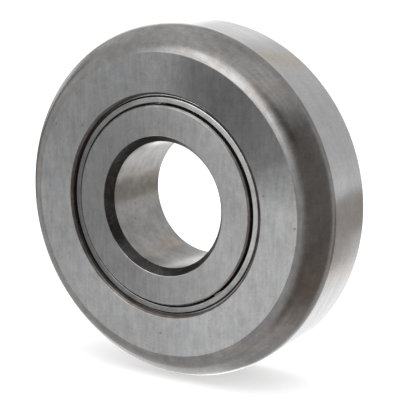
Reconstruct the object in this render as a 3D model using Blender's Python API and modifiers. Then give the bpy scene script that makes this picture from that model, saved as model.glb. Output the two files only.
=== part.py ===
"""A yoke-type cam follower.

A thick outer ring with a chamfered tread rolls on caged cylindrical rollers around an
inner ring that is clamped on a fixed pin. Two pressed shields close the sides.

Lengths are in metres. The follower turns about Y, its front faces look along -Y, and
the origin lies on the axis, halfway along the inner ring. Turned pieces are drawn as
(radius, height) profiles with height running towards the front.
"""

import math

import bmesh
import bpy
from mathutils import Matrix

MM = 0.001

# Overall sizes
BORE_RADIUS = 17.5 * MM
TREAD_RADIUS = 49.0 * MM
OUTER_WIDTH = 25.5 * MM
REAR_STANDOUT = 1.0 * MM  # how far the inner ring passes the outer ring, at the rear only

# Rolling parts
INNER_WALL = 6.75 * MM  # from the bore to the inner raceway
ROLLER_RADIUS = 4.75 * MM
ROLLER_LENGTH = 15.0 * MM
ROLLER_EDGE = 0.5 * MM
ROLLER_COUNT = 14
RIB_GAP = 2.9 * MM  # from the inner ring's ribs to the outer ring's ribs

# Outer ring
FRONT_CHAMFER_HEIGHT = 7.3 * MM  # measured along the radius
FRONT_CHAMFER_DEPTH = 6.2 * MM  # measured along the axis
FRONT_CHAMFER_ROUND = 6.3 * MM
FRONT_CHAMFER_START = math.radians(8)  # the rounding's slope where it leaves the face
TREAD_EDGE_ROUND = 3.5 * MM  # where the front chamfer meets the tread
REAR_CHAMFER = 2.2 * MM
OPENING_CHAMFER = 0.6 * MM
SHIELD_GROOVE_START = 1.5 * MM  # behind the ring's face
SHIELD_GROOVE_HEIGHT = 0.75 * MM

# Inner ring and its loose flange
BORE_CHAMFER_HEIGHT = 1.8 * MM  # measured along the radius
BORE_CHAMFER_DEPTH = 2.5 * MM  # measured along the axis
RIB_CHAMFER = 0.45 * MM
FLANGE_SEAT_STEP = 1.2 * MM  # how far the flange's seat lies under the raceway

# Shields
SHEET = 0.8 * MM
SHIELD_RISE = 0.6 * MM  # how far the flat band stands forward of the rim
SHIELD_SLOPE = 0.4 * MM
SHIELD_BAND = 1.5 * MM

# Clearances
ROLLER_CLEARANCE = 0.06 * MM
ROLLER_END_CLEARANCE = 0.15 * MM
POCKET_CLEARANCE = 0.1 * MM
CAGE_CLEARANCE = 0.3 * MM
CAGE_END_CLEARANCE = 0.4 * MM
SHIELD_CLEARANCE = 0.55 * MM  # from a shield's inner edge to the inner ring
SEAT_GAP = 0.1 * MM  # between two pieces that seat on each other

# Facets
RING_STEPS = 72
ROLLER_STEPS = 18
POCKET_STEPS = 24
ARC_STEPS = 3
CHAMFER_STEPS = 5

# Sizes that follow
INNER_WIDTH = OUTER_WIDTH + REAR_STANDOUT
FRONT = INNER_WIDTH / 2
REAR = -INNER_WIDTH / 2
OUTER_REAR = FRONT - OUTER_WIDTH
MIDDLE = FRONT - OUTER_WIDTH / 2  # the plane halfway along the outer ring and the rollers
INNER_RACEWAY = BORE_RADIUS + INNER_WALL
PITCH_RADIUS = INNER_RACEWAY + ROLLER_RADIUS
OUTER_RACEWAY = PITCH_RADIUS + ROLLER_RADIUS
INNER_RIB = PITCH_RADIUS - RIB_GAP / 2
OUTER_RIB = PITCH_RADIUS + RIB_GAP / 2
RACEWAY_HALF = ROLLER_LENGTH / 2 + ROLLER_END_CLEARANCE
FLANGE_SEAT = INNER_RACEWAY - FLANGE_SEAT_STEP
SHIELD_GROOVE_END = SHIELD_GROOVE_START + SHEET + 2 * SEAT_GAP
SHIELD_GROOVE = OUTER_RIB + SHIELD_GROOVE_HEIGHT

# Colours (linear), metallic and roughness of each finish
FINISHES = {
    "ground_ring_steel": ((0.33, 0.33, 0.34), 1.0, 0.32),
    "ground_inner_steel": ((0.36, 0.36, 0.37), 1.0, 0.30),
    "flange_steel": ((0.30, 0.30, 0.31), 1.0, 0.34),
    "pressed_shield_steel": ((0.55, 0.55, 0.56), 1.0, 0.25),
    "moulded_cage_nylon": ((0.03, 0.03, 0.035), 0.0, 0.55),
    "polished_roller_steel": ((0.62, 0.62, 0.63), 1.0, 0.12),
}


def clear_scene():
    for found in list(bpy.data.objects):
        bpy.data.objects.remove(found, do_unlink=True)


def new_collection(name, hidden=False):
    made = bpy.data.collections.new(name)
    made.hide_render = hidden
    bpy.context.scene.collection.children.link(made)
    return made


def new_material(name):
    colour, metallic, roughness = FINISHES[name]
    made = bpy.data.materials.new(name)
    made.use_nodes = True
    shader = made.node_tree.nodes["Principled BSDF"]
    shader.inputs["Base Color"].default_value = (*colour, 1.0)
    shader.inputs["Metallic"].default_value = metallic
    shader.inputs["Roughness"].default_value = roughness
    return made


def new_object(name, mesh, collection, parent):
    made = bpy.data.objects.new(name, mesh)
    collection.objects.link(made)
    made.parent = parent
    return made


def fillet(before, corner, after, radius):
    """The points of an arc of this radius, tangent to both sides of a profile's corner."""
    into = math.atan2(before[1] - corner[1], before[0] - corner[0])
    away = math.atan2(after[1] - corner[1], after[0] - corner[0])
    opening = (away - into + math.pi) % (2 * math.pi) - math.pi
    bisector = into + opening / 2
    reach = radius / math.sin(abs(opening) / 2)
    centre_radius = corner[0] + reach * math.cos(bisector)
    centre_height = corner[1] + reach * math.sin(bisector)
    sweep = math.copysign(math.pi - abs(opening), opening)
    points = []
    for step in range(ARC_STEPS + 1):
        angle = bisector + math.pi - sweep * (step / ARC_STEPS - 0.5)
        points.append(
            (
                centre_radius + radius * math.cos(angle),
                centre_height + radius * math.sin(angle),
            )
        )
    return points


def arc_towards(start, slope, radius, end, steps):
    """A rounding that leaves its start at this slope and ends where it aims straight at end."""
    centre_radius = start[0] - radius * math.sin(slope)
    centre_height = start[1] - radius * math.cos(slope)
    reach = math.hypot(end[0] - centre_radius, end[1] - centre_height)
    towards_end = math.atan2(end[0] - centre_radius, end[1] - centre_height)
    last_slope = towards_end - math.acos(radius / reach)
    points = []
    for step in range(steps + 1):
        angle = slope + (last_slope - slope) * step / steps
        points.append(
            (
                centre_radius + radius * math.sin(angle),
                centre_height + radius * math.cos(angle),
            )
        )
    return points


def mirrored(profile, plane):
    """The profile seen in a mirror across a height, still running down its outer side."""
    return [(radius, 2 * plane - height) for radius, height in reversed(profile)]


def smooth_shaded(mesh):
    mesh.shade_smooth()
    mesh.set_sharp_from_angle(angle=math.radians(25))


def apply_modifiers(solid):
    """Makes what the modifiers give the object's own mesh, shaded smooth between sharp edges."""
    graph = bpy.context.evaluated_depsgraph_get()
    mesh = bpy.data.meshes.new_from_object(solid.evaluated_get(graph))
    mesh.name = solid.name
    solid.modifiers.clear()
    solid.data = mesh
    smooth_shaded(mesh)


def turned(name, profile, material, collection, parent):
    """A ring from a closed profile that runs down its outer side. One flat faces each side."""
    mesh = bpy.data.meshes.new(name)
    count = len(profile)
    mesh.from_pydata(
        [(radius, 0.0, height) for radius, height in profile],
        [(index, (index + 1) % count) for index in range(count)],
        [],
    )
    ring = new_object(name, mesh, collection, parent)
    ring.rotation_euler.z = math.pi / RING_STEPS
    screw = ring.modifiers.new("Turned", "SCREW")
    screw.axis = "Z"
    screw.angle = 2 * math.pi
    screw.steps = RING_STEPS
    screw.render_steps = RING_STEPS
    screw.merge_threshold = 0.00001
    apply_modifiers(ring)
    ring.data.materials.append(material)
    return ring


def side_opening():
    """The outer ring's front opening, from the raceway out to its face."""
    raceway_end = MIDDLE + RACEWAY_HALF
    groove_start = FRONT - SHIELD_GROOVE_START
    groove_end = FRONT - SHIELD_GROOVE_END
    return [
        (OUTER_RACEWAY, raceway_end),
        (OUTER_RIB, raceway_end),
        (OUTER_RIB, groove_end),
        (SHIELD_GROOVE, groove_end),
        (SHIELD_GROOVE, groove_start),
        (OUTER_RIB, groove_start),
        (OUTER_RIB, FRONT - OPENING_CHAMFER),
        (OUTER_RIB + OPENING_CHAMFER, FRONT),
    ]


def build_outer_ring(collection, parent):
    """The ring that rolls: wide front chamfer, tread, raceway between two ribs, shield grooves."""
    tread_front = (TREAD_RADIUS, FRONT - FRONT_CHAMFER_DEPTH)
    tread_rear = (TREAD_RADIUS, OUTER_REAR + REAR_CHAMFER)
    face_edge = (TREAD_RADIUS - FRONT_CHAMFER_HEIGHT, FRONT)
    chamfer = arc_towards(
        face_edge, FRONT_CHAMFER_START, FRONT_CHAMFER_ROUND, tread_front, CHAMFER_STEPS
    )
    tread_edge = fillet(chamfer[-1], tread_front, tread_rear, TREAD_EDGE_ROUND)
    rear_edge = (TREAD_RADIUS - REAR_CHAMFER, OUTER_REAR)
    opening = side_opening()
    profile = [*chamfer, *tread_edge, tread_rear, rear_edge, *mirrored(opening, MIDDLE), *opening]
    steel = new_material("ground_ring_steel")
    return turned("outer_ring", profile, steel, collection, parent)


def build_inner_ring(collection, parent):
    """The ring on the pin: front rib, raceway, and a seat for the loose flange at the rear."""
    profile = [
        (INNER_RIB - RIB_CHAMFER, FRONT),
        (INNER_RIB, FRONT - RIB_CHAMFER),
        (INNER_RIB, MIDDLE + RACEWAY_HALF),
        (INNER_RACEWAY, MIDDLE + RACEWAY_HALF),
        (INNER_RACEWAY, MIDDLE - RACEWAY_HALF),
        (FLANGE_SEAT, MIDDLE - RACEWAY_HALF),
        (FLANGE_SEAT, REAR),
        (BORE_RADIUS + BORE_CHAMFER_HEIGHT, REAR),
        (BORE_RADIUS, REAR + BORE_CHAMFER_DEPTH),
        (BORE_RADIUS, FRONT - BORE_CHAMFER_DEPTH),
        (BORE_RADIUS + BORE_CHAMFER_HEIGHT, FRONT),
    ]
    steel = new_material("ground_inner_steel")
    return turned("inner_ring", profile, steel, collection, parent)


def build_flange_ring(collection, parent):
    """The inner ring's rear rib, a separate ring pressed on once the rollers are in."""
    top = MIDDLE - RACEWAY_HALF - SEAT_GAP
    profile = [
        (INNER_RIB, top),
        (INNER_RIB, REAR + RIB_CHAMFER),
        (INNER_RIB - RIB_CHAMFER, REAR),
        (FLANGE_SEAT + SEAT_GAP, REAR),
        (FLANGE_SEAT + SEAT_GAP, top),
    ]
    steel = new_material("flange_steel")
    return turned("flange_ring", profile, steel, collection, parent)


def shield_profile():
    """The front shield: a rim held in the groove, a slope, and a flat band standing forward."""
    rim_front = FRONT - SHIELD_GROOVE_START - SEAT_GAP
    rim = SHIELD_GROOVE - SEAT_GAP
    inner_edge = INNER_RIB + SHIELD_CLEARANCE
    band_edge = inner_edge + SHIELD_BAND
    front_side = [
        (inner_edge, rim_front + SHIELD_RISE),
        (band_edge, rim_front + SHIELD_RISE),
        (band_edge + SHIELD_SLOPE, rim_front),
        (rim, rim_front),
    ]
    back_side = [(radius, height - SHEET) for radius, height in reversed(front_side)]
    return front_side + back_side


def build_shields(collection, parent):
    """Two pressed shields, snapped into the outer ring's grooves and clear of the inner ring."""
    front = shield_profile()
    steel = new_material("pressed_shield_steel")
    return [
        turned("front_shield", front, steel, collection, parent),
        turned("rear_shield", mirrored(front, MIDDLE), steel, collection, parent),
    ]


def roller_places():
    """The rollers' centres, evenly spaced on the pitch circle."""
    for index in range(ROLLER_COUNT):
        angle = 2 * math.pi * index / ROLLER_COUNT
        yield PITCH_RADIUS * math.cos(angle), PITCH_RADIUS * math.sin(angle), MIDDLE


def cylinder_mesh(name, radius, length, steps, places):
    """One mesh with a cylinder along local Z at each place."""
    shape = bmesh.new()
    for place in places:
        bmesh.ops.create_cone(
            shape,
            cap_ends=True,
            segments=steps,
            radius1=radius,
            radius2=radius,
            depth=length,
            matrix=Matrix.Translation(place),
        )
    mesh = bpy.data.meshes.new(name)
    shape.to_mesh(mesh)
    shape.free()
    return mesh


def build_cage(collection, cutters, parent):
    """A one-piece cage that rides between the ribs, with a through pocket for each roller."""
    end = FRONT - SHIELD_GROOVE_END + SEAT_GAP - CAGE_END_CLEARANCE
    inner = INNER_RIB + CAGE_CLEARANCE
    outer = OUTER_RIB - CAGE_CLEARANCE
    top_corners = [(inner, end), (outer, end)]
    profile = top_corners + mirrored(top_corners, MIDDLE)
    nylon = new_material("moulded_cage_nylon")
    cage = turned("roller_cage", profile, nylon, collection, parent)
    pockets = cylinder_mesh(
        "cage_pockets",
        ROLLER_RADIUS + POCKET_CLEARANCE,
        2 * RACEWAY_HALF,
        POCKET_STEPS,
        roller_places(),
    )
    cutter = new_object("cage_pockets", pockets, cutters, parent)
    cutter.display_type = "WIRE"
    cutter.hide_render = True
    cut = cage.modifiers.new("Pockets", "BOOLEAN")
    cut.operation = "DIFFERENCE"
    cut.solver = "EXACT"
    cut.object = cutter
    apply_modifiers(cage)
    return cage


def build_rollers(collection, parent):
    """Cylindrical rollers with relieved edges, each with its origin on its own axis."""
    steel = new_material("polished_roller_steel")
    radius = ROLLER_RADIUS - ROLLER_CLEARANCE
    for number, place in enumerate(roller_places(), start=1):
        name = f"roller_{number:02d}"
        mesh = cylinder_mesh(name, radius, ROLLER_LENGTH, ROLLER_STEPS, [(0, 0, 0)])
        roller = new_object(name, mesh, collection, parent)
        roller.location = place
        edge = roller.modifiers.new("Relieved edges", "BEVEL")
        edge.limit_method = "ANGLE"
        edge.angle_limit = math.radians(60)
        edge.width = ROLLER_EDGE
        edge.segments = 1
        apply_modifiers(roller)
        roller.data.materials.append(steel)


def main():
    clear_scene()
    parts = new_collection("cam_follower")
    cutters = new_collection("cam_follower_cutters", hidden=True)
    axis = bpy.data.objects.new("follower_axis", None)
    axis.rotation_euler.x = math.pi / 2
    parts.objects.link(axis)
    build_inner_ring(parts, axis)
    build_flange_ring(parts, axis)
    build_outer_ring(parts, axis)
    build_shields(parts, axis)
    build_cage(parts, cutters, axis)
    build_rollers(parts, axis)
    bpy.context.view_layer.update()


main()
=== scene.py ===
"""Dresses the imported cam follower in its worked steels.

Every ring, cover, roller and the cage is cut finely in mesh code over its CAD solid, and
stands on a plain pale floor under soft studio light.

Lengths are in metres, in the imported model's frame: the follower turns about Y, its front
faces look along -Y, and it stands on its tread. Turned shapes are drawn as (radius,
height) profiles, with height running towards the front.
"""

import logging
import math
from collections.abc import Sequence
from dataclasses import dataclass, field, replace
from enum import Enum

import bmesh
import bpy
from mathutils import Matrix, Vector


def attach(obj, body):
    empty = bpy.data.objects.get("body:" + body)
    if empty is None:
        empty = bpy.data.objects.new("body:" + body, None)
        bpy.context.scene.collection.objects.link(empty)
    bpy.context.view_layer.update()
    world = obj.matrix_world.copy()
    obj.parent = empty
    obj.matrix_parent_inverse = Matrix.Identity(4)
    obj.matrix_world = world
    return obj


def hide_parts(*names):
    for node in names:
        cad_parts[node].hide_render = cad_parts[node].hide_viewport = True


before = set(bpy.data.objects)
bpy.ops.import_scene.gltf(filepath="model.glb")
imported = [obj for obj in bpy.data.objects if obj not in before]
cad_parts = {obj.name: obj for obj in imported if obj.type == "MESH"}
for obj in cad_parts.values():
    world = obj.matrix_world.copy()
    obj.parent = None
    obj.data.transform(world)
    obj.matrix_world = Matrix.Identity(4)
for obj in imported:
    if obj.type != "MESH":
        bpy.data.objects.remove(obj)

MM = 0.001
MICRON = 1e-6
BROKEN_EDGE = 0.12 * MM
RACEWAY_CORNER = 0.3 * MM
SHARP_BEND = math.radians(22)
LOG = logging.getLogger("cam_follower")

Colour = tuple[float, float, float]
Socket = bpy.types.NodeSocket
Feed = Socket | float | Sequence[float]


# -------- finishes


class Lay(Enum):
    """Which way the tool marks of a turned surface vary; they always run round the axis."""

    ACROSS_FACE = "radius"
    ALONG_BARREL = "height"


class Finish(Enum):
    """The worked surfaces of the follower, each the name of its material."""

    GROUND_FACE = "ground_ring_face"
    CHAMFER = "turned_chamfer"
    TREAD = "ground_tread"
    EDGE = "worn_edge"
    OPENING = "turned_opening"
    RACEWAY = "honed_raceway"
    INNER_FACE = "ground_inner_face"
    BORE_CHAMFER = "dark_bore_chamfer"
    RIB = "turned_rib"
    BORE = "ground_bore"
    REAR_FACE = "ground_rear_face"
    FLANGE = "ground_flange"
    COVER = "pressed_cover"
    COVER_EDGE = "sheared_cover_edge"
    NYLON = "moulded_nylon"
    ROLLER = "superfinished_roller"


class Nodes:
    """Adds nodes to one node tree and wires them."""

    def __init__(self, tree: bpy.types.NodeTree) -> None:
        """Takes the tree that it works on."""
        self.tree = tree

    def feed(self, node: bpy.types.Node, inputs: dict[str | int, Feed]) -> None:
        """Links or sets a node's inputs.

        Args:
            node: the node.
            inputs: outputs to link from or plain values, by input name or number.
        """
        for name, value in inputs.items():
            socket = node.inputs[name]
            if isinstance(value, bpy.types.NodeSocket):
                self.tree.links.new(value, socket)
            elif isinstance(value, (int, float)):
                socket.default_value = value
            else:
                socket.default_value = (*value, 1.0) if socket.type == "RGBA" else tuple(value)

    def node(self, kind: str, **inputs: Feed) -> bpy.types.Node:
        """A new node with its inputs fed by name.

        Args:
            kind: the node's type, without its ShaderNode prefix.
            inputs: values by input name, with _ for each space.

        Returns:
            The node.
        """
        made = self.tree.nodes.new(f"ShaderNode{kind}")
        self.feed(made, {name.replace("_", " "): value for name, value in inputs.items()})
        return made

    def math(self, operation: str, *values: Feed) -> Socket:
        """The result of one Math node with these inputs."""
        made = self.node("Math")
        made.operation = operation
        self.feed(made, dict(enumerate(values)))
        return made.outputs[0]

    def times(self, first: Feed, *others: Feed) -> Feed:
        """The product of these values."""
        for other in others:
            first = self.math("MULTIPLY", first, other)
        return first

    def vector_math(self, operation: str, *values: Feed) -> Socket:
        """The result of one Vector Math node: its number for a length or a dot product."""
        made = self.node("VectorMath")
        made.operation = operation
        self.feed(made, dict(enumerate(values)))
        return made.outputs["Value" if operation in ("LENGTH", "DOT_PRODUCT") else "Vector"]

    def vector(self, x: Feed, y: Feed, z: Feed) -> Socket:
        """A vector from three parts."""
        return self.node("CombineXYZ", X=x, Y=y, Z=z).outputs[0]

    def smooth(self, value: Feed, low: float, high: float) -> Socket:
        """0 below low, 1 above high and a smooth step between; low may be the greater."""
        made = self.node("MapRange", Value=value, From_Min=low, From_Max=high)
        made.interpolation_type = "SMOOTHSTEP"
        return made.outputs[0]

    def between(self, value: Feed, low: Feed, high: Feed) -> Socket:
        """The plain mix of low and high at this value."""
        return self.node("MapRange", Value=value, To_Min=low, To_Max=high).outputs[0]

    def noise(self, vector: Feed, scale: float, detail: float = 2.0, rough: float = 0.5) -> Socket:
        """Noise about 0.5, whose scale is how many features a unit of the vector holds."""
        made = self.node("TexNoise", Vector=vector, Scale=scale, Detail=detail, Roughness=rough)
        return made.outputs["Fac"]

    def mix(self, factor: Feed, first: Feed, second: Feed, blend: str = "MIX") -> Socket:
        """Two colours mixed in this blend, the factor being how much of the second shows."""
        made = self.node("Mix")
        made.data_type = "RGBA"
        made.blend_type = blend
        self.feed(made, {0: factor, 6: first, 7: second})
        return made.outputs[2]

    def scaled(self, colour: Feed, factor: Feed) -> Socket:
        """The colour times a plain factor."""
        return self.mix(1.0, colour, self.vector(factor, factor, factor), "MULTIPLY")


class Shader(Nodes):
    """One new material, which starts with only its Principled shader."""

    def __init__(self, name: str) -> None:
        """Starts the material under this name."""
        self.material = bpy.data.materials.new(name)
        self.material.use_nodes = True
        super().__init__(self.material.node_tree)

    def bump(self, height: Feed, depth: float) -> Socket:
        """A normal tilted by a height field from 0 to 1, whose full step is depth metres."""
        return self.node("Bump", Height=height, Distance=depth, Strength=1.0).outputs[0]

    def surface(self, **inputs: Feed) -> None:
        """Feeds the Principled shader's inputs by name, with _ for each space."""
        principled = self.tree.nodes["Principled BSDF"]
        self.feed(principled, {name.replace("_", " "): value for name, value in inputs.items()})


@dataclass(frozen=True)
class Shadow:
    """A side of a ring painted darker: painted shade that stands in for the dark reflections and
    shading on that side.

    Args:
        towards: the direction of its middle in degrees, from +X towards +Z.
        amount: how much darker its middle is, from 0 to 1.
        reach: how far from its middle it ends, in degrees.
        core: how far from its middle it is at its darkest, in degrees.
        ragged: how ragged its ends are.
    """

    towards: float
    amount: float
    reach: float
    core: float
    ragged: float = 0.1


@dataclass(frozen=True)
class SteelFinish:
    """A worked steel surface with tool marks round the axis, mottling, scratches, films and painted
    shade on some sides.

    Args:
        colour: the steel's own colour.
        roughness: its middle roughness.
        lay: which way the tool marks vary.
        marks_per_mm: how close the marks lie.
        marks: how strongly they show in the colour, from 0 to 1.
        mottle: how strongly the colour varies in soft patches.
        film: the colour of the thin film that lies in patches.
        film_amount: how much of the film shows.
        scratches: how strongly fine straight scratches show.
        brushing: how strongly fine straight streaks show.
        pits: how dark the small pits are.
        depth: the height of the marks in metres.
        anisotropy: how much the marks spread a highlight across themselves.
        shadows: the sides painted darker, as painted shade.
    """

    colour: Colour
    roughness: float
    lay: Lay = Lay.ACROSS_FACE
    marks_per_mm: float = 2.5
    marks: float = 0.1
    mottle: float = 0.12
    film: Colour = (0.8, 0.72, 0.62)
    film_amount: float = 0.0
    scratches: float = 0.0
    brushing: float = 0.0
    pits: float = 0.0
    depth: float = 1.5 * MICRON
    anisotropy: float = 0.0
    shadows: tuple[Shadow, ...] = ()

    def material(self, name: str) -> bpy.types.Material:
        """The finish as a material of this name."""
        return SteelShader(name, self).finished()


class SteelShader(Shader):
    """The material of one steel finish while it is being made.

    Its place is in the frame. Its around is a vector of x over the radius, the distance
    across the tool marks, and z over the radius. Patterns are given per metre.
    """

    CLOUDS = 320.0
    GRAIN = 1400.0
    FILM_PATCHES = 55.0
    PITS = 520.0
    RAGGED_ENDS = 130.0
    BRUSH_STREAKS = (1300.0, 200.0, 150.0)
    SCRATCHES = (140.0, 140.0, 1700.0)
    SCRATCH_LENGTHS = 210.0
    SCRATCH_DIRECTIONS = (12, 57, 101, 148)
    BRIGHT = (0.75, 0.75, 0.76)
    DARK = (0.05, 0.047, 0.045)

    def __init__(self, name: str, finish: SteelFinish) -> None:
        """Starts the material of this name and finish."""
        super().__init__(name)
        self.finish = finish
        self.place = self.node("TexCoord").outputs["Object"]
        x, y, z = self.node("SeparateXYZ", Vector=self.place).outputs
        radius = self.vector_math("LENGTH", self.vector(x, 0.0, z))
        across = radius if finish.lay is Lay.ACROSS_FACE else y
        cosine, sine = self.math("DIVIDE", x, radius), self.math("DIVIDE", z, radius)
        self.around = self.vector(cosine, across, sine)

    def tool_marks(self) -> Socket:
        """Fine rings and broader bands left by the tool, about 0.5."""
        fine_step = self.finish.marks_per_mm / MM
        fine = self.vector_math("MULTIPLY", self.around, (5.0, fine_step, 5.0))
        broad = self.vector_math("MULTIPLY", self.around, (1.6, fine_step / 5, 1.6))
        rings, bands = self.noise(fine, 1.0, 3.0, 0.6), self.noise(broad, 1.0, 1.0)
        return self.math("MULTIPLY_ADD", bands, 0.4, self.times(rings, 0.6))

    def scratch_lines(self) -> Socket:
        """Thin broken lines in a few directions, 1 on a line."""
        total: Feed = 0.0
        for number, degrees in enumerate(self.SCRATCH_DIRECTIONS):
            turned = self.node(
                "Mapping",
                Vector=self.place,
                Rotation=(0.0, math.radians(degrees), 0.0),
                Location=(0.013 * number, 0.0, 0.007 * number),
            ).outputs[0]
            level = self.noise(self.vector_math("MULTIPLY", turned, self.SCRATCHES), 1.0, 1.0)
            offset = self.math("ABSOLUTE", self.math("SUBTRACT", level, 0.5))
            gate = self.smooth(self.noise(turned, self.SCRATCH_LENGTHS, 1.0), 0.5, 0.6)
            line = self.times(self.smooth(offset, 0.03, 0.008), gate)
            total = self.math("MAXIMUM", total, line)
        return total

    def shadow(self, side: Shadow) -> Socket:
        """Painted shade: 1 outside a darker side, falling towards its middle and ragged at its ends.
        """
        angle = math.radians(side.towards)
        middle = (math.cos(angle), 0.0, math.sin(angle))
        towards = self.vector_math("DOT_PRODUCT", self.around, middle)
        stir = self.math("SUBTRACT", self.noise(self.place, self.RAGGED_ENDS, 4.0), 0.5)
        stirred = self.math("MULTIPLY_ADD", stir, side.ragged * 2, towards)
        ends = math.cos(math.radians(side.reach)), math.cos(math.radians(side.core))
        return self.between(self.smooth(stirred, *ends), 1.0, 1 - side.amount)

    def varied(self, pattern: Feed, amount: float) -> Socket:
        """1 on average, and up to amount less or more where the pattern is low or high."""
        return self.between(self.smooth(pattern, 0.3, 0.7), 1 - amount, 1 + amount)

    def finished(self) -> bpy.types.Material:
        """The material, with every layer of its finish."""
        finish, place = self.finish, self.place
        marks = self.tool_marks()
        patches = self.noise(place, self.CLOUDS, 5.0, 0.65)
        grain = self.noise(place, self.GRAIN, 2.0)
        height = self.math("MULTIPLY_ADD", grain, 0.3, marks)

        tone = self.times(self.varied(marks, finish.marks), self.varied(patches, finish.mottle))
        tone = self.times(tone, self.between(grain, 0.9, 1.1))
        if finish.brushing:
            drawn = self.vector_math("MULTIPLY", place, self.BRUSH_STREAKS)
            tone = self.times(tone, self.varied(self.noise(drawn, 1.0, 4.0, 0.6), finish.brushing))
        colour = self.scaled(finish.colour, tone)
        if finish.film_amount:
            where = self.smooth(self.noise(place, self.FILM_PATCHES, 5.0, 0.65), 0.46, 0.68)
            colour = self.mix(self.times(where, finish.film_amount), colour, finish.film, "MULTIPLY")
        if finish.scratches:
            lines = self.scratch_lines()
            colour = self.mix(self.times(lines, finish.scratches), colour, self.BRIGHT)
            height = self.math("SUBTRACT", height, self.times(lines, 0.5))
        if finish.pits:
            pit = self.smooth(self.noise(place, self.PITS, 2.0, 0.4), 0.71, 0.78)
            colour = self.mix(self.times(pit, finish.pits), colour, self.DARK)
            height = self.math("SUBTRACT", height, pit)
        # painted shade: each darker side multiplies the colour
        for side in finish.shadows:
            colour = self.scaled(colour, self.shadow(side))

        polish = self.between(self.smooth(marks, 0.25, 0.75), 1.15, 0.85)
        rough = self.times(polish, self.between(patches, 0.8, 1.2), finish.roughness)
        normal = self.bump(height, finish.depth)
        self.surface(Base_Color=colour, Roughness=rough, Normal=normal, Metallic=1.0)
        if finish.anisotropy:
            tangent = self.node("Tangent")
            tangent.direction_type = "RADIAL"
            tangent.axis = "Y"
            quarter_turn = 0.25
            self.surface(
                Anisotropic=finish.anisotropy,
                Anisotropic_Rotation=quarter_turn,
                Tangent=tangent.outputs[0],
            )
        return self.material


@dataclass(frozen=True)
class NylonFinish:
    """Moulded glass-filled nylon: fine grain, faint flow marks and a low gloss.

    Args:
        colour: the nylon's colour.
        roughness: its middle roughness.
    """

    colour: Colour = (0.03, 0.03, 0.034)
    roughness: float = 0.5

    def material(self, name: str) -> bpy.types.Material:
        """The finish as a material of this name."""
        shader = Shader(name)
        place = shader.node("TexCoord").outputs["Object"]
        flow = shader.between(shader.noise(place, 120.0, 4.0, 0.6), 0.75, 1.3)
        grain = shader.noise(place, 2200.0, 2.0)
        shader.surface(
            Base_Color=shader.scaled(self.colour, flow),
            Roughness=shader.between(grain, self.roughness - 0.1, self.roughness + 0.12),
            Normal=shader.bump(grain, 12 * MICRON),
        )
        return shader.material


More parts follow.
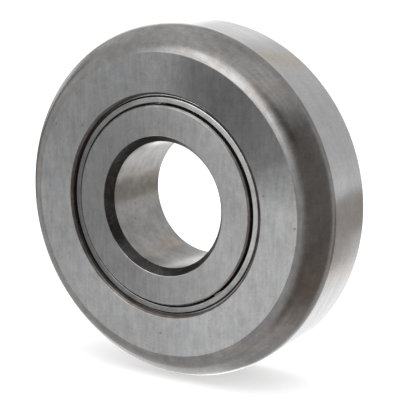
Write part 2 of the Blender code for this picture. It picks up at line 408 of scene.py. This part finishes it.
FINISHES: dict[Finish, SteelFinish | NylonFinish] = {
    Finish.GROUND_FACE: SteelFinish(
        (0.48, 0.48, 0.485), roughness=0.3, marks=0.04, mottle=0.07,
        film=(0.88, 0.92, 1.0), film_amount=0.12,
        scratches=0.22, brushing=0.08, pits=0.5, anisotropy=0.3,
        # painted shade: darker sectors at the upper right, the upper left and the lower left,
        # standing in for dark reflections
        shadows=(Shadow(47, 0.57, 45, 6, 0.06), Shadow(110, 0.45, 125, 20), Shadow(235, 0.2, 60, 20)),
    ),
    Finish.CHAMFER: SteelFinish(
        (0.262, 0.256, 0.252), roughness=0.25, marks_per_mm=2.0, marks=0.12, mottle=0.12,
        film=(0.96, 0.88, 0.82), film_amount=0.4,
        scratches=0.06, depth=3 * MICRON, anisotropy=0.5,
    ),
    Finish.TREAD: SteelFinish(
        (0.56, 0.56, 0.57), roughness=0.24, lay=Lay.ALONG_BARREL,
        marks_per_mm=1.6, marks=0.03, mottle=0.06, film=(0.92, 0.86, 0.8), film_amount=0.2,
        scratches=0.06, depth=0.5 * MICRON, anisotropy=0.85,
    ),
    Finish.EDGE: SteelFinish(
        # painted shade: the edge is painted darker towards the left
        (0.4, 0.4, 0.41), roughness=0.3, mottle=0.25, shadows=(Shadow(172, 0.6, 75, 35),),
    ),
    Finish.OPENING: SteelFinish(
        (0.2, 0.18, 0.168), roughness=0.4, lay=Lay.ALONG_BARREL, marks=0.25, mottle=0.25,
        film=(0.8, 0.62, 0.5), film_amount=0.4,
        # painted shade: the opening is painted darker towards the top
        depth=4 * MICRON, shadows=(Shadow(78, 0.45, 50, 20),),
    ),
    Finish.RACEWAY: SteelFinish(
        (0.5, 0.5, 0.51), roughness=0.15, lay=Lay.ALONG_BARREL,
        marks_per_mm=5.0, marks=0.06, depth=0.6 * MICRON, anisotropy=0.3,
    ),
    Finish.INNER_FACE: SteelFinish(
        (0.455, 0.455, 0.458), roughness=0.3, marks=0.04, mottle=0.06,
        film=(0.9, 0.88, 0.86), film_amount=0.15,
        scratches=0.17, brushing=0.08, pits=0.35, anisotropy=0.2,
        # painted shade: the face is painted darker towards the left, the upper right and the bottom
        shadows=(Shadow(168, 0.52, 175, 25), Shadow(40, 0.15, 70, 20), Shadow(277, 0.15, 55, 20)),
    ),
    Finish.BORE_CHAMFER: SteelFinish(
        (0.085, 0.082, 0.08), roughness=0.34, lay=Lay.ALONG_BARREL, marks=0.2, mottle=0.25,
        # painted shade: the chamfer is painted darker towards the lower left
        scratches=0.08, depth=3 * MICRON, shadows=(Shadow(228, 0.35, 45, 15),),
    ),
    Finish.RIB: SteelFinish(
        (0.4, 0.39, 0.38), roughness=0.35, lay=Lay.ALONG_BARREL,
        marks=0.2, mottle=0.2, depth=3 * MICRON,
    ),
    Finish.BORE: SteelFinish(
        (0.405, 0.398, 0.392), roughness=0.32, lay=Lay.ALONG_BARREL,
        marks_per_mm=1.0, marks=0.03, mottle=0.16, film=(0.9, 0.8, 0.72), film_amount=0.35,
        scratches=0.08, pits=0.4, depth=0.4 * MICRON, anisotropy=0.6,
        # painted shade: the bore is painted darker at the upper left and at the bottom
        shadows=(Shadow(136, 0.2, 28, 5), Shadow(268, 0.42, 28, 10)),
    ),
    Finish.REAR_FACE: SteelFinish(
        (0.4, 0.4, 0.405), roughness=0.3, marks=0.06, mottle=0.08,
        film=(0.9, 0.86, 0.8), film_amount=0.2,
        scratches=0.18, brushing=0.07, pits=0.5, anisotropy=0.3,
    ),
    Finish.FLANGE: SteelFinish(
        (0.36, 0.36, 0.37), roughness=0.34, scratches=0.15, pits=0.3, anisotropy=0.3,
    ),
    Finish.COVER: SteelFinish(
        (0.52, 0.52, 0.525), roughness=0.24, marks_per_mm=4.0, marks=0.2,
        film=(0.8, 0.74, 0.7), film_amount=0.4, scratches=0.1, anisotropy=0.2,
        # painted shade: the cover is painted darker towards the left and the lower right
        shadows=(Shadow(185, 0.7, 160, 10), Shadow(285, 0.25, 55, 20)),
    ),
    Finish.COVER_EDGE: SteelFinish(
        (0.42, 0.42, 0.43), roughness=0.38, lay=Lay.ALONG_BARREL,
        marks_per_mm=6.0, marks=0.3, depth=4 * MICRON,
    ),
    Finish.NYLON: NylonFinish(),
    Finish.ROLLER: SteelFinish(
        (0.6, 0.6, 0.61), roughness=0.1, lay=Lay.ALONG_BARREL,
        marks_per_mm=6.0, marks=0.05, mottle=0.05, depth=0.3 * MICRON,
    ),
}


class Workshop:
    """Makes each finish's material once."""

    def __init__(self) -> None:
        """Starts with no material made."""
        self.made: dict[Finish, bpy.types.Material] = {}

    def material(self, finish: Finish) -> bpy.types.Material:
        """The finish's material, made the first time it is asked for."""
        if finish not in self.made:
            self.made[finish] = FINISHES[finish].material(finish.value)
        return self.made[finish]


# -------- turned shapes


@dataclass(frozen=True)
class Corner:
    """A corner of a turned profile.

    Args:
        radius: its distance from the axis.
        height: its distance towards the front.
        leaving: the finish of the surface from here to the next corner.
        rounding: the radius of the corner's own rounding, 0 for none.
        rounded_as: the finish of that rounding.
        crisp: whether an unrounded corner is shaded as an edge, however slight.
    """

    radius: float
    height: float
    leaving: Finish
    rounding: float = 0.0
    rounded_as: Finish = Finish.EDGE
    crisp: bool = False


def round_axis(radius: float, height: float, turn: float) -> Vector:
    """The place at this radius and height, this share of a turn from +X towards +Z."""
    angle = 2 * math.pi * turn
    return Vector((radius * math.cos(angle), -height, radius * math.sin(angle)))


def set_down(name: str, data: bpy.types.ID) -> bpy.types.Object:
    """A new object in the scene with this mesh, light or camera."""
    made = bpy.data.objects.new(name, data)
    bpy.context.scene.collection.objects.link(made)
    return made


def mesh_of(name: str, shape: bmesh.types.BMesh) -> bpy.types.Mesh:
    """The mesh of a finished shape, which is freed."""
    mesh = bpy.data.meshes.new(name)
    shape.to_mesh(mesh)
    shape.free()
    return mesh


@dataclass
class Turning:
    """A ring cut on the lathe: a closed profile that runs down its outer side.

    Args:
        name: the piece's name.
        corners: the profile's corners in order.
        steps: how many facets go round.
        arc_steps: how many facets a right-angled rounding has.
    """

    name: str
    corners: list[Corner]
    steps: int = 360
    arc_steps: int = 6

    def rounding(self, before: Corner, corner: Corner, after: Corner) -> list[Corner]:
        """The points of a corner's rounding.

        Args:
            before: the corner before it.
            corner: the corner itself.
            after: the corner after it.

        Returns:
            The arc, whose last point leaves on the corner's own surface.
        """
        into = math.atan2(before.height - corner.height, before.radius - corner.radius)
        away = math.atan2(after.height - corner.height, after.radius - corner.radius)
        opening = (away - into + math.pi) % (2 * math.pi) - math.pi
        bisector = into + opening / 2
        reach = corner.rounding / math.sin(abs(opening) / 2)
        centre_radius = corner.radius + reach * math.cos(bisector)
        centre_height = corner.height + reach * math.sin(bisector)
        sweep = math.copysign(math.pi - abs(opening), opening)
        count = max(2, math.ceil(self.arc_steps * abs(sweep) / (math.pi / 2)))
        arc = []
        for step in range(count + 1):
            angle = bisector + math.pi - sweep * (step / count - 0.5)
            radius = centre_radius + corner.rounding * math.cos(angle)
            height = centre_height + corner.rounding * math.sin(angle)
            arc.append(Corner(radius, height, corner.rounded_as if step < count else corner.leaving))
        return arc

    def profile(self) -> list[Corner]:
        """The closed profile with every corner rounded as it asks."""
        points: list[Corner] = []
        for index, corner in enumerate(self.corners):
            if corner.rounding:
                after = self.corners[(index + 1) % len(self.corners)]
                points += self.rounding(self.corners[index - 1], corner, after)
            else:
                points.append(corner)
        return points

    def build(self, workshop: Workshop) -> bpy.types.Object:
        """Sweeps the profile about the axis into a smooth-shaded object in the scene.

        Args:
            workshop: where the finishes come from.

        Returns:
            The object.
        """
        profile = self.profile()
        count = len(profile)
        places = [
            round_axis(point.radius, point.height, step / self.steps)
            for step in range(self.steps)
            for point in profile
        ]
        faces = []
        for step in range(self.steps):
            here, there = step * count, (step + 1) % self.steps * count
            for index in range(count):
                after = (index + 1) % count
                faces.append((here + index, here + after, there + after, there + index))
        mesh = bpy.data.meshes.new(self.name)
        mesh.from_pydata(places, [], faces)
        finishes = list(dict.fromkeys(point.leaving for point in profile))
        for finish in finishes:
            mesh.materials.append(workshop.material(finish))
        slots = [finishes.index(point.leaving) for point in profile] * self.steps
        mesh.polygons.foreach_set("material_index", slots)
        face_out(mesh)
        shade(mesh, [index for index, point in enumerate(profile) if point.crisp], count)
        return set_down(self.name, mesh)


def face_out(mesh: bpy.types.Mesh) -> None:
    """Turns a closed mesh's faces outwards."""
    shape = bmesh.new()
    shape.from_mesh(mesh)
    bmesh.ops.recalc_face_normals(shape, faces=shape.faces)
    shape.to_mesh(mesh)
    shape.free()


def shade(mesh: bpy.types.Mesh, crisp: Sequence[int] = (), count: int = 1) -> None:
    """Shades a mesh smooth between its real edges.

    Args:
        mesh: the mesh.
        crisp: the profile points whose rings are edges, however slight.
        count: how many points the profile has.
    """
    mesh.shade_smooth()
    mesh.set_sharp_from_angle(angle=SHARP_BEND)
    for edge in mesh.edges if crisp else ():
        first, second = (vertex % count for vertex in edge.vertices)
        if first == second and first in crisp:
            edge.use_edge_sharp = True


def mirrored(corners: Sequence[Corner], plane: float) -> list[Corner]:
    """The corners seen in a mirror across a height, still running down their outer side.

    Args:
        corners: an open run of corners.
        plane: the mirror's height.

    Returns:
        The mirrored run, whose last corner leaves on the first one's finish.
    """
    leaving = [corners[0].leaving, *(corner.leaving for corner in corners[:-1])]
    turned = [
        replace(corner, height=2 * plane - corner.height, leaving=finish)
        for corner, finish in zip(corners, leaving)
    ]
    return turned[::-1]


# -------- sizes


@dataclass(frozen=True)
class Follower:
    """The sizes that the pieces share.

    Args:
        bore: the bore's radius.
        tread: the tread's radius.
        outer_width: the outer ring's width.
        rear_standout: how far the inner ring passes it at the rear.
        inner_raceway: the inner raceway's radius.
        roller: the rollers' radius, before their play.
        roller_length: the rollers' length.
        roller_count: how many rollers there are.
        rib_gap: from the inner ring's ribs to the outer ring's ribs.
        end_clearance: from a roller's end to a rib.
    """

    bore: float = 17.5 * MM
    tread: float = 49 * MM
    outer_width: float = 25.5 * MM
    rear_standout: float = 1.0 * MM
    inner_raceway: float = 24.25 * MM
    roller: float = 4.75 * MM
    roller_length: float = 15 * MM
    roller_count: int = 14
    rib_gap: float = 2.9 * MM
    end_clearance: float = 0.15 * MM

    @property
    def front(self) -> float:
        """The height of the front faces."""
        return (self.outer_width + self.rear_standout) / 2

    @property
    def rear(self) -> float:
        """The height of the inner ring's rear face."""
        return -self.front

    @property
    def outer_rear(self) -> float:
        """The height of the outer ring's rear face."""
        return self.front - self.outer_width

    @property
    def middle(self) -> float:
        """The height of the rollers' middle."""
        return self.front - self.outer_width / 2

    @property
    def pitch(self) -> float:
        """The radius of the rollers' centres."""
        return self.inner_raceway + self.roller

    @property
    def outer_raceway(self) -> float:
        """The outer raceway's radius."""
        return self.pitch + self.roller

    @property
    def inner_rib(self) -> float:
        """The radius of the inner ring's ribs."""
        return self.pitch - self.rib_gap / 2

    @property
    def outer_rib(self) -> float:
        """The radius of the outer ring's ribs."""
        return self.pitch + self.rib_gap / 2

    @property
    def raceway_half(self) -> float:
        """Half the width between the ribs."""
        return self.roller_length / 2 + self.end_clearance


# -------- pieces


def fit(piece: bpy.types.Object, body: str, node: str) -> None:
    """Lets a piece ride on a body in place of a CAD node.

    Args:
        piece: the piece, in place.
        body: the body that it moves with.
        node: the CAD node that it stands for.
    """
    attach(piece, body)
    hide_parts(node)
    LOG.info("%s rides on %s for %s: %d faces", piece.name, body, node, len(piece.data.polygons))


@dataclass
class OuterRing:
    """The ring that rolls on the track.

    Args:
        size: the follower's shared sizes.
        face_edge: the radius where the flat front face ends.
        chamfer_depth: how deep the front chamfer cuts the tread.
        crest_radius: the radius of the chamfer's rounding.
        crest_start: the rounding's slope where it leaves the face.
        tread_rounding: the rounding where the chamfer meets the tread.
        rear_chamfer: the rear chamfer's legs.
        rear_tread_rounding: the rounding between it and the tread.
        rear_face_rounding: the rounding between it and the rear face.
        opening_chamfer: the legs of the small chamfer round the side opening.
        groove_start: the cover groove's distance behind the face.
        groove_width: the groove's width.
        groove_height: the groove's depth into the ring.
    """

    size: Follower
    face_edge: float = 41.7 * MM
    chamfer_depth: float = 6.2 * MM
    crest_radius: float = 6.3 * MM
    crest_start: float = math.radians(8)
    tread_rounding: float = 3.5 * MM
    rear_chamfer: float = 2.2 * MM
    rear_tread_rounding: float = 0.4 * MM
    rear_face_rounding: float = 0.3 * MM
    opening_chamfer: float = 0.6 * MM
    groove_start: float = 1.5 * MM
    groove_width: float = 1.0 * MM
    groove_height: float = 0.75 * MM

    def crest(self) -> list[Corner]:
        """The front face's edge and the chamfer's rounding, up to its straight run."""
        front = self.size.front
        centre_radius = self.face_edge - self.crest_radius * math.sin(self.crest_start)
        centre_height = front - self.crest_radius * math.cos(self.crest_start)
        run = self.size.tread - centre_radius
        drop = front - self.chamfer_depth - centre_height
        last = math.atan2(run, drop) - math.acos(self.crest_radius / math.hypot(run, drop))
        steps = 14
        corners = []
        for step in range(steps + 1):
            angle = self.crest_start + (last - self.crest_start) * step / steps
            radius = centre_radius + self.crest_radius * math.sin(angle)
            height = centre_height + self.crest_radius * math.cos(angle)
            corners.append(Corner(radius, height, Finish.CHAMFER, crisp=step == 0))
        return corners

    def opening(self) -> list[Corner]:
        """The front opening, from the raceway out to the face."""
        size = self.size
        rib, wall = size.outer_rib, size.outer_rib + self.groove_height
        raceway_end = size.middle + size.raceway_half
        groove_start = size.front - self.groove_start
        groove_end = groove_start - self.groove_width
        honed, cut = Finish.RACEWAY, Finish.OPENING
        groove = [(rib, groove_end), (wall, groove_end), (wall, groove_start), (rib, groove_start)]
        groove.append((rib, size.front - self.opening_chamfer))
        return [
            Corner(size.outer_raceway, raceway_end, honed, RACEWAY_CORNER, honed),
            Corner(rib, raceway_end, cut, BROKEN_EDGE),
            *(Corner(radius, height, cut, BROKEN_EDGE, cut) for radius, height in groove),
            Corner(rib + self.opening_chamfer, size.front, Finish.GROUND_FACE, BROKEN_EDGE),
        ]

    def corners(self) -> list[Corner]:
        """The whole profile."""
        size, turned = self.size, Finish.CHAMFER
        front_depth = size.front - self.chamfer_depth
        rear_depth = size.outer_rear + self.rear_chamfer
        rear_edge = size.tread - self.rear_chamfer
        opening = self.opening()
        return [
            *self.crest(),
            Corner(size.tread, front_depth, Finish.TREAD, self.tread_rounding, turned),
            Corner(size.tread, rear_depth, turned, self.rear_tread_rounding),
            Corner(rear_edge, size.outer_rear, Finish.REAR_FACE, self.rear_face_rounding),
            *mirrored(opening, size.middle),
            *opening,
        ]

    def make(self, workshop: Workshop) -> None:
        """Builds and fits the ring in the workshop's finishes."""
        ring = Turning("rolling_ring", self.corners()).build(workshop)
        fit(ring, "outer", "outer_ring")


@dataclass
class InnerRing:
    """The ring clamped on the pin, with its front rib and its loose rear flange.

    Args:
        size: the follower's shared sizes.
        bore_chamfer_height: the bore chamfers' leg along the radius.
        bore_chamfer_depth: their leg along the axis.
        rib_chamfer: the chamfer on each rib's outer edge.
        seat_step: how far the flange's seat lies under the raceway.
        seat_gap: between the flange and its seat.
    """

    size: Follower
    bore_chamfer_height: float = 1.8 * MM
    bore_chamfer_depth: float = 2.5 * MM
    rib_chamfer: float = 0.45 * MM
    seat_step: float = 1.2 * MM
    seat_gap: float = 0.1 * MM

    @property
    def seat(self) -> float:
        """The radius of the flange's seat."""
        return self.size.inner_raceway - self.seat_step

    def corners(self) -> list[Corner]:
        """The ring's profile."""
        size = self.size
        top, bottom = size.middle + size.raceway_half, size.middle - size.raceway_half
        bore_edge = size.bore + self.bore_chamfer_height
        edge, soft_edge = BROKEN_EDGE, 2 * BROKEN_EDGE
        rib, honed, dark = Finish.RIB, Finish.RACEWAY, Finish.BORE_CHAMFER
        return [
            Corner(size.inner_rib - self.rib_chamfer, size.front, rib, edge),
            Corner(size.inner_rib, size.front - self.rib_chamfer, rib, edge, rib),
            Corner(size.inner_rib, top, honed, edge, honed),
            Corner(size.inner_raceway, top, honed, RACEWAY_CORNER, honed),
            Corner(size.inner_raceway, bottom, honed, edge, honed),
            Corner(self.seat, bottom, honed, edge, honed),
            Corner(self.seat, size.rear, Finish.REAR_FACE, edge),
            Corner(bore_edge, size.rear, dark, soft_edge),
            Corner(size.bore, size.rear + self.bore_chamfer_depth, Finish.BORE, soft_edge, dark),
            Corner(size.bore, size.front - self.bore_chamfer_depth, dark, soft_edge, dark),
            Corner(bore_edge, size.front, Finish.INNER_FACE, soft_edge),
        ]

    def flange_corners(self) -> list[Corner]:
        """The loose flange's profile."""
        size = self.size
        top = size.middle - size.raceway_half - self.seat_gap
        inner = self.seat + self.seat_gap
        return [
            Corner(size.inner_rib, top, Finish.RIB, BROKEN_EDGE),
            Corner(size.inner_rib, size.rear + self.rib_chamfer, Finish.RIB, BROKEN_EDGE),
            Corner(size.inner_rib - self.rib_chamfer, size.rear, Finish.FLANGE, BROKEN_EDGE),
            Corner(inner, size.rear, Finish.RACEWAY, BROKEN_EDGE),
            Corner(inner, top, Finish.RACEWAY, BROKEN_EDGE),
        ]

    def make(self, workshop: Workshop) -> None:
        """Builds and fits both pieces in the workshop's finishes."""
        ring = Turning("pin_ring", self.corners(), arc_steps=10).build(workshop)
        fit(ring, "inner", "inner_ring")
        flange = Turning("loose_flange", self.flange_corners()).build(workshop)
        fit(flange, "inner", "flange_ring")


@dataclass
class Covers:
    """The two pressed covers, snapped into the outer ring's grooves.

    Args:
        size: the follower's shared sizes.
        sheet: the sheet's thickness.
        rise: how far the flat band stands forward of the rim.
        slope: the width of the slope between them.
        band: the flat band's width.
        clearance: from the band to the inner ring.
        rim_depth: the rim's distance behind the outer ring's face.
        rim_radius: the rim's outer radius.
        bend: the rounding of each bend.
    """

    size: Follower
    sheet: float = 0.8 * MM
    rise: float = 0.6 * MM
    slope: float = 0.4 * MM
    band: float = 1.5 * MM
    clearance: float = 0.55 * MM
    rim_depth: float = 1.6 * MM
    rim_radius: float = 31.1 * MM
    bend: float = 0.25 * MM

    def corners(self) -> list[Corner]:
        """The front cover's profile."""
        rim = self.size.front - self.rim_depth
        inner = self.size.inner_rib + self.clearance
        outer = inner + self.band
        face, cut, edge = Finish.COVER, Finish.COVER_EDGE, BROKEN_EDGE
        front = [
            Corner(inner, rim + self.rise, face, self.bend, face),
            Corner(outer, rim + self.rise, face, self.bend, face),
            Corner(outer + self.slope, rim, face, self.bend, face),
            Corner(self.rim_radius, rim, cut, edge, cut),
        ]
        back = [Corner(c.radius, c.height - self.sheet, face, edge, face) for c in front[::-1]]
        back[-1] = Corner(inner, rim + self.rise - self.sheet, cut, edge, cut)
        return front + back

    def make(self, workshop: Workshop) -> None:
        """Builds and fits both covers in the workshop's finishes."""
        front = self.corners()
        for side, corners in (("front", front), ("rear", mirrored(front, self.size.middle))):
            cover = Turning(f"{side}_cover", corners).build(workshop)
            fit(cover, "outer", f"{side}_shield")


@dataclass
class RollerSet:
    """The rollers and the cage that spaces them.

    Args:
        size: the follower's shared sizes.
        play: the rollers' radial play.
        edge: the relief of a roller's ends.
        dish: how deep the hollow in a roller's end is.
        pocket_clearance: from a roller to its pocket.
        cage_clearance: from the cage to the ribs.
        cage_half: half the cage's width.
        cage_edge: the rounding of its edges.
    """

    size: Follower
    play: float = 0.06 * MM
    edge: float = 0.5 * MM
    dish: float = 0.12 * MM
    pocket_clearance: float = 0.1 * MM
    cage_clearance: float = 0.3 * MM
    cage_half: float = 9.95 * MM
    cage_edge: float = 0.2 * MM

    def centres(self) -> list[Vector]:
        """The rollers' centres in the frame."""
        size, count = self.size, self.size.roller_count
        return [round_axis(size.pitch, size.middle, index / count) for index in range(count)]

    def roller_mesh(self, workshop: Workshop, name: str, steps: int = 64) -> bpy.types.Mesh:
        """A closed roller with relieved ends and a shallow hollow in each.

        Args:
            workshop: where its finish comes from.
            name: the mesh's name.
            steps: how many facets go round.

        Returns:
            The mesh, about its own middle.
        """
        radius, half = self.size.roller - self.play, self.size.roller_length / 2
        upper = [
            (radius * 0.45, half - self.dish),
            (radius * 0.6, half),
            (radius - self.edge, half),
            (radius - self.edge * 0.35, half - self.edge * 0.12),
            (radius - self.edge * 0.1, half - self.edge * 0.45),
            (radius, half - self.edge * 1.4),
        ]
        line = upper + [(r, -h) for r, h in reversed(upper)]
        shape = bmesh.new()
        rings = [
            [shape.verts.new(round_axis(r, h, step / steps)) for step in range(steps)]
            for r, h in line
        ]
        for first, second in zip(rings, rings[1:]):
            for step in range(steps):
                shape.faces.new((first[step - 1], first[step], second[step], second[step - 1]))
        shape.faces.new(rings[0])
        shape.faces.new(rings[-1])
        bmesh.ops.recalc_face_normals(shape, faces=shape.faces)
        mesh = mesh_of(name, shape)
        mesh.materials.append(workshop.material(Finish.ROLLER))
        shade(mesh)
        return mesh

    def cage_corners(self) -> list[Corner]:
        """The cage's profile before its pockets are cut."""
        size, nylon = self.size, Finish.NYLON
        inner = size.inner_rib + self.cage_clearance
        outer = size.outer_rib - self.cage_clearance
        top, bottom = size.middle + self.cage_half, size.middle - self.cage_half
        places = ((outer, top), (outer, bottom), (inner, bottom), (inner, top))
        return [Corner(*place, nylon, self.cage_edge, nylon) for place in places]

    def pocket_cutter(self) -> bpy.types.Object:
        """A short-lived object with one barrel at each roller's place."""
        shape = bmesh.new()
        radius = self.size.roller + self.pocket_clearance
        upright = Matrix.Rotation(math.pi / 2, 4, "X")
        for centre in self.centres():
            bmesh.ops.create_cone(
                shape,
                cap_ends=True,
                segments=72,
                radius1=radius,
                radius2=radius,
                depth=2 * self.size.raceway_half,
                matrix=Matrix.Translation(centre) @ upright,
            )
        return set_down("pocket_cutter", mesh_of("pocket_cutter", shape))

    def cage(self, workshop: Workshop) -> bpy.types.Object:
        """The moulded cage with its pockets cut, in the workshop's nylon."""
        cage = Turning("moulded_cage", self.cage_corners()).build(workshop)
        cutter = self.pocket_cutter()
        cut = cage.modifiers.new("Pockets", "BOOLEAN")
        cut.operation = "DIFFERENCE"
        cut.solver = "EXACT"
        cut.object = cutter
        graph = bpy.context.evaluated_depsgraph_get()
        mesh = bpy.data.meshes.new_from_object(cage.evaluated_get(graph))
        cage.modifiers.clear()
        cage.data = mesh
        shade(mesh)
        bpy.data.objects.remove(cutter, do_unlink=True)
        return cage

    def make(self, workshop: Workshop) -> None:
        """Builds and fits the cage and every roller in the workshop's finishes."""
        fit(self.cage(workshop), "cage", "roller_cage")
        for number, centre in enumerate(self.centres(), start=1):
            node = f"roller_{number:02d}"
            roller = set_down(f"steel_{node}", self.roller_mesh(workshop, f"steel_{node}"))
            roller.location = centre
            fit(roller, node, node)


# -------- studio


@dataclass(frozen=True)
class Softbox:
    """A soft bright or dark card in the surroundings.

    Args:
        azimuth: its direction in degrees, 0 in front along -Y and 90 along +X.
        elevation: its height over the horizon in degrees.
        width: its half width in degrees.
        height: its half height in degrees.
        brightness: what it adds to the surroundings.
        colour: its tint.
        softness: how wide its soft border is, as a share of its size.
    """

    azimuth: float
    elevation: float
    width: float
    height: float
    brightness: float
    colour: Colour = (1.0, 1.0, 1.0)
    softness: float = 0.3


@dataclass
class Studio:
    """The pale floor, the soft surroundings and the camera.

    Args:
        size: the follower's shared sizes.
        floor_radius: the floor's radius.
        fill: the brightness of the surroundings between the cards, as the steel mirrors them.
        daylight: the even light that the floor and the dull pieces take.
        lamp_place: where the one lamp hangs.
        lamp_size: its width.
        lamp_power: its power in watts.
        camera_azimuth: the camera's direction in degrees, from -Y towards +X.
        camera_elevation: its height over the horizon in degrees.
        camera_distance: from the middle of the front faces.
        camera_aside: how far it stands to its own right.
        camera_raised: how far it stands up from there.
        lens: its focal length in millimetres.
        cards: the soft cards.
    """

    size: Follower
    floor_radius: float = 6.0
    fill: float = 0.78
    daylight: float = 1.25
    lamp_place: tuple[float, float, float] = (0.1, -0.2, 1.4)
    lamp_size: float = 1.6
    lamp_power: float = 14.0
    camera_azimuth: float = 32.73
    camera_elevation: float = 11.67
    camera_distance: float = 352.4 * MM
    camera_aside: float = 10.51 * MM
    camera_raised: float = 1.82 * MM
    lens: float = 117.4
    cards: list[Softbox] = field(
        default_factory=lambda: [
            Softbox(-15, 25, 20, 21, 2.05),
            Softbox(-20, 64, 100, 14, 0.27, softness=0.5),
            Softbox(62, -8, 42, 54, -0.52, (0.97, 1.0, 1.02)),
            Softbox(42, 34, 22, 12, -0.18, softness=0.5),
            Softbox(58, -62, 60, 30, -0.04, (0.0, 1.0, 1.6), softness=0.7),
            Softbox(-112, 3, 13, 17, -0.58),
            Softbox(-146, -12, 20, 7, -0.5, softness=0.25),
            Softbox(-134, 19, 13, 19, 1.3, softness=0.25),
            Softbox(-154, 22, 8, 12, 0.38, softness=0.5),
            Softbox(-165, -38, 32, 22, 0.66, softness=0.08),
            Softbox(-149, -39, 9, 23, 1.5, softness=0.2),
            Softbox(150, -17, 24, 12.5, -0.42, (0.93, 1.0, 1.07), softness=0.06),
            Softbox(161, -29, 5, 3, 0.3, (1.4, 0.95, 0.6)),
            Softbox(155, 22, 24, 18, -0.16),
            Softbox(-176, 34, 3, 12, -0.3, (0.5, 1.0, 1.6), softness=0.4),
        ]
    )

    def floor(self) -> None:
        """Lays a wide pale disc under the tread."""
        shape = bmesh.new()
        bmesh.ops.create_circle(shape, cap_ends=True, segments=96, radius=self.floor_radius)
        floor = set_down("pale_floor", mesh_of("pale_floor", shape))
        floor.location.z = -self.size.tread - 0.1 * MM
        floor.visible_glossy = False
        shader = Shader("pale_floor")
        place = shader.node("TexCoord").outputs["Object"]
        speck = shader.between(shader.noise(place, 30.0, 3.0), 0.97, 1.03)
        shader.surface(
            Base_Color=shader.scaled((0.5, 0.5, 0.5), speck),
            Emission_Color=(1.0, 1.0, 1.0),
            Emission_Strength=0.5,
            Roughness=0.9,
            Specular_IOR_Level=0.1,
        )
        floor.data.materials.append(shader.material)

    def surroundings(self) -> None:
        """Paints the soft cards round a plain room, which the camera itself sees as white."""
        world = bpy.data.worlds.new("studio")
        world.use_nodes = True
        bpy.context.scene.world = world
        room = Nodes(world.node_tree)
        direction = room.node("TexCoord").outputs["Generated"]
        x, y, z = room.node("SeparateXYZ", Vector=direction).outputs
        azimuth = room.math("ARCTAN2", x, room.times(y, -1.0))
        elevation = room.math("ARCSINE", z)
        light: Feed = (self.fill,) * 3
        for card in self.cards:
            light = room.mix(1.0, light, self.card(room, azimuth, elevation, card), "ADD")
        path = room.node("LightPath").outputs
        light = room.mix(path["Is Diffuse Ray"], light, (self.daylight,) * 3)
        light = room.mix(path["Is Camera Ray"], light, (1.0, 1.0, 1.0))
        room.feed(room.tree.nodes["Background"], {"Color": light})

    def card(self, room: Nodes, azimuth: Socket, elevation: Socket, card: Softbox) -> Socket:
        """One card's light in a direction.

        Args:
            room: the world's nodes.
            azimuth: the direction's azimuth in radians.
            elevation: its elevation in radians.
            card: the card.

        Returns:
            Its colour there.
        """
        around = room.math("SUBTRACT", azimuth, math.radians(card.azimuth))
        across = room.math("ABSOLUTE", room.math("WRAP", around, math.pi, -math.pi))
        up = room.math("ABSOLUTE", room.math("SUBTRACT", elevation, math.radians(card.elevation)))
        inside: list[Socket] = []
        for offset, half in ((across, card.width), (up, card.height)):
            outer = math.radians(half) * (1 + card.softness)
            inner = math.radians(half) * (1 - card.softness)
            inside.append(room.smooth(offset, outer, inner))
        return room.scaled(card.colour, room.times(*inside, card.brightness))

    def lamp(self) -> None:
        """Hangs one wide soft lamp overhead, for the floor and the softest of shadows."""
        light = bpy.data.lights.new("overhead", "AREA")
        light.shape = "DISK"
        light.size = self.lamp_size
        light.energy = self.lamp_power
        lamp = set_down("overhead", light)
        lamp.location = self.lamp_place
        lamp.rotation_euler = (-lamp.location).to_track_quat("-Z", "Y").to_euler()
        lamp.visible_glossy = False

    def camera(self) -> None:
        """Stands the camera to the right of the front and a little above it."""
        azimuth, elevation = math.radians(self.camera_azimuth), math.radians(self.camera_elevation)
        right = Vector((math.cos(azimuth), math.sin(azimuth), 0.0))
        level = Vector((math.sin(azimuth), -math.cos(azimuth), 0.0))
        back = math.cos(elevation) * level + math.sin(elevation) * Vector((0.0, 0.0, 1.0))
        up = back.cross(right)
        data = bpy.data.cameras.new("camera")
        data.sensor_width = 36.0
        data.lens = self.lens
        data.clip_start = 0.01
        data.clip_end = 50.0
        camera = set_down("camera", data)
        middle = Vector((0.0, -self.size.front, 0.0))
        place = middle + self.camera_distance * back
        camera.location = place + self.camera_aside * right + self.camera_raised * up
        camera.rotation_euler = Matrix((right, up, back)).transposed().to_euler()
        bpy.context.scene.camera = camera

    def make(self) -> None:
        """Sets the whole studio up."""
        bpy.context.scene.view_settings.view_transform = "Standard"
        self.floor()
        self.surroundings()
        self.lamp()
        self.camera()
        LOG.info("studio ready with %d cards", len(self.cards))


def main() -> None:
    """Builds every sub-assembly in order, then the studio."""
    logging.basicConfig(level=logging.INFO, format="%(name)s: %(message)s")
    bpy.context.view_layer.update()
    size = Follower()
    workshop = Workshop()
    InnerRing(size).make(workshop)
    RollerSet(size).make(workshop)
    OuterRing(size).make(workshop)
    Covers(size).make(workshop)
    Studio(size).make()


if __name__ == "__main__":
    main()
